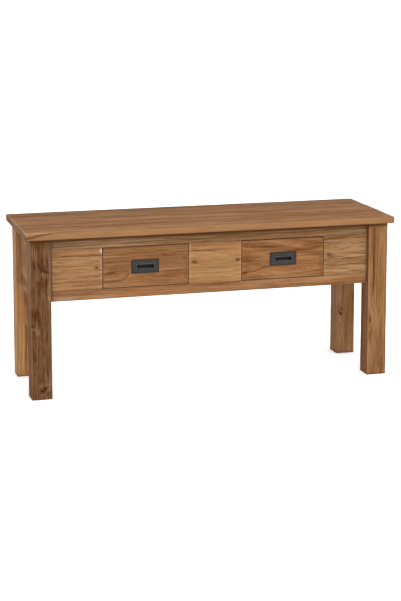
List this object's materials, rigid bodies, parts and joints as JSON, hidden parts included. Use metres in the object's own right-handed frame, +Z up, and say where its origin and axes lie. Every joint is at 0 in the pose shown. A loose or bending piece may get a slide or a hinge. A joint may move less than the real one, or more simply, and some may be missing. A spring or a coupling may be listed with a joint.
{
  "type": "telephone bench",
  "caption": "Low solid-wood bench with a plain overhanging seat on square legs and shallow drawers with flush iron pulls in its front apron.",
  "frame": {"origin": "on the floor, under the middle of the seat", "axes": "+X along the bench to the right as seen from the front, +Y to the back, +Z up; the drawers open towards -Y"},
  "size_m": [1.1, 0.36, 0.48],
  "materials": {
    "seat_teak": "waxed reclaimed teak, reddish brown",
    "leg_teak": "waxed reclaimed teak, brown with knots",
    "rail_teak": "waxed reclaimed teak, greyish brown",
    "panel_teak": "waxed reclaimed teak, tan",
    "drawer_front_teak": "waxed reclaimed teak, reddish brown",
    "inner_wood": "bare sawn wood",
    "drawer_bottom_panel": "bare plywood",
    "dark_peg": "dark end grain",
    "dark_iron": "blackened iron, rubbed on its edges",
    "steel_screw": "zinc-plated"
  },
  "bodies": {
    "frame": {"corner_block_screws": "steel_screw", "front_bottom_rail": "rail_teak", "front_left_corner_block": "inner_wood", "front_left_leg": "leg_teak", "front_left_panel": "panel_teak", "front_middle_panel": "panel_teak", "front_right_corner_block": "inner_wood", "front_right_leg": "leg_teak", "front_right_panel": "panel_teak", "front_top_rail": "rail_teak", "guide_pegs": "dark_peg", "left_drawer_kicker": "inner_wood", "left_drawer_left_guide": "inner_wood", "left_drawer_left_runner": "inner_wood", "left_drawer_right_guide": "inner_wood", "left_drawer_right_runner": "inner_wood", "left_drawer_stop": "inner_wood", "left_seat_cleat": "inner_wood", "left_side_apron": "rail_teak", "middle_seat_cleat": "inner_wood", "rear_apron": "rail_teak", "rear_left_corner_block": "inner_wood", "rear_left_leg": "leg_teak", "rear_right_corner_block": "inner_wood", "rear_right_leg": "leg_teak", "right_drawer_kicker": "inner_wood", "right_drawer_left_guide": "inner_wood", "right_drawer_left_runner": "inner_wood", "right_drawer_right_guide": "inner_wood", "right_drawer_right_runner": "inner_wood", "right_drawer_stop": "inner_wood", "right_seat_cleat": "inner_wood", "right_side_apron": "rail_teak", "runner_screws": "steel_screw", "seat_cleat_screws": "steel_screw", "seat_front_board": "seat_teak", "seat_middle_board": "seat_teak", "seat_rear_board": "seat_teak"},
    "left_drawer": {"left_drawer_back": "inner_wood", "left_drawer_bottom": "drawer_bottom_panel", "left_drawer_front": "drawer_front_teak", "left_drawer_left_side": "inner_wood", "left_drawer_pull": "dark_iron", "left_drawer_right_side": "inner_wood", "left_pull_pins": "dark_iron"},
    "right_drawer": {"right_drawer_back": "inner_wood", "right_drawer_bottom": "drawer_bottom_panel", "right_drawer_front": "drawer_front_teak", "right_drawer_left_side": "inner_wood", "right_drawer_pull": "dark_iron", "right_drawer_right_side": "inner_wood", "right_pull_pins": "dark_iron"}
  },
  "joints": [
    {"name": "left_drawer_slide", "type": "slide", "parent": "frame", "child": "left_drawer", "axis": [0, -1, 0], "range_m": [0, 0.18]},
    {"name": "right_drawer_slide", "type": "slide", "parent": "frame", "child": "right_drawer", "axis": [0, -1, 0], "range_m": [0, 0.18]}
  ]
}
